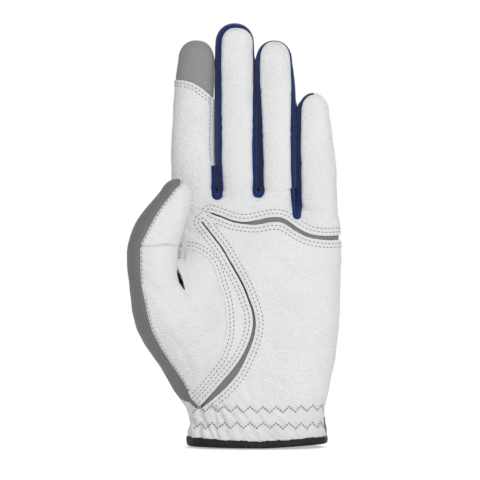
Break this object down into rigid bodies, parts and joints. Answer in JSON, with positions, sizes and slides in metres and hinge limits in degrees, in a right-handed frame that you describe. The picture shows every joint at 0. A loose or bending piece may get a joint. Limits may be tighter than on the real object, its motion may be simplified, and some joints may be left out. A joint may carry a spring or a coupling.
{
  "type": "golf glove",
  "caption": "Left-hand golf glove in thin white leather with coloured stretch panels between the fingers, a bound elastic cuff, bending fingers and a closure tab that opens.",
  "frame": {"origin": "middle of the mouth that the hand goes in by, on the flat lower edge of the cuff binding", "axes": "+Z along the fingers, from the wrist to the fingertips; -Y out of the palm; -X towards the thumb"},
  "size_m": [0.1071, 0.0567, 0.2123],
  "materials": {
    "white_leather": "soft matte grain",
    "grey_knit": "matte stretch knit",
    "blue_knit": "matte stretch knit",
    "black_binding": "soft bound edge",
    "white_thread": "sewing thread",
    "white_elastic": "woven elastic",
    "grey_hook": "hook and loop"
  },
  "bodies": {
    "hand": {"back_leather": "white_leather", "crease_stretch_insert": "grey_knit", "cuff_binding": "black_binding", "cuff_elastic": "white_elastic", "cuff_front_leather": "white_leather", "finger_root_back": "white_leather", "finger_root_leather": "white_leather", "index_crease": "white_leather", "knuckle_stretch_panel": "grey_knit", "little_crease": "white_leather", "loop_pad": "grey_hook", "middle_crease": "white_leather", "palm_leather": "white_leather", "ring_crease": "white_leather", "slit_edging": "grey_knit", "slit_gusset": "white_elastic", "tab_anchor": "white_leather", "thenar_leather": "white_leather", "thenar_stretch_insert": "grey_knit", "thumb_crease": "grey_knit", "thumb_seam_band": "white_leather", "thumb_side_knit": "grey_knit", "web_index_middle": "blue_knit", "web_middle_ring": "blue_knit", "web_ring_little": "blue_knit", "zigzag_thread_lower": "white_thread", "zigzag_thread_upper": "white_thread"},
    "index": {"index_back_leather": "white_leather", "index_fourchette": "blue_knit", "index_front_leather": "white_leather", "index_tip_cap": "grey_knit"},
    "middle": {"middle_back_leather": "white_leather", "middle_fourchette": "blue_knit", "middle_front_leather": "white_leather"},
    "ring": {"ring_back_leather": "white_leather", "ring_fourchette": "blue_knit", "ring_front_leather": "white_leather"},
    "little": {"little_back_leather": "white_leather", "little_fourchette": "blue_knit", "little_front_leather": "white_leather"},
    "thumb": {"thumb_back_knit": "grey_knit", "thumb_front_leather": "white_leather"},
    "tab": {"tab_hook_pad": "grey_hook", "tab_leather": "white_leather"}
  },
  "joints": [
    {"name": "index_bend", "type": "hinge", "parent": "hand", "child": "index", "pos_m": [-0.0322, 0, 0.135], "axis": [1, 0, 0], "range_deg": [0, 60], "stiffness_Nm_per_rad": 0.012, "deforming": ["index_crease"]},
    {"name": "middle_bend", "type": "hinge", "parent": "hand", "child": "middle", "pos_m": [-0.0106, 0, 0.1365], "axis": [1, 0, 0], "range_deg": [0, 60], "stiffness_Nm_per_rad": 0.014, "deforming": ["middle_crease"]},
    {"name": "ring_bend", "type": "hinge", "parent": "hand", "child": "ring", "pos_m": [0.0114, 0, 0.1345], "axis": [1, 0, 0], "range_deg": [0, 60], "stiffness_Nm_per_rad": 0.012, "deforming": ["ring_crease"]},
    {"name": "little_bend", "type": "hinge", "parent": "hand", "child": "little", "pos_m": [0.0313, 0, 0.1255], "axis": [1, 0, 0], "range_deg": [0, 60], "stiffness_Nm_per_rad": 0.008, "deforming": ["little_crease"]},
    {"name": "thumb_spread", "type": "hinge", "parent": "hand", "child": "thumb", "pos_m": [-0.051, -0.019, 0.089], "axis": [0, -1, 0], "range_deg": [0, 35], "stiffness_Nm_per_rad": 0.012, "deforming": ["thumb_crease"]},
    {"name": "tab_open", "type": "hinge", "parent": "hand", "child": "tab", "pos_m": [-0.0105, 0.0226, 0.026], "axis": [0, -0.0783, 0.9969], "range_deg": [0, 120]}
  ]
}
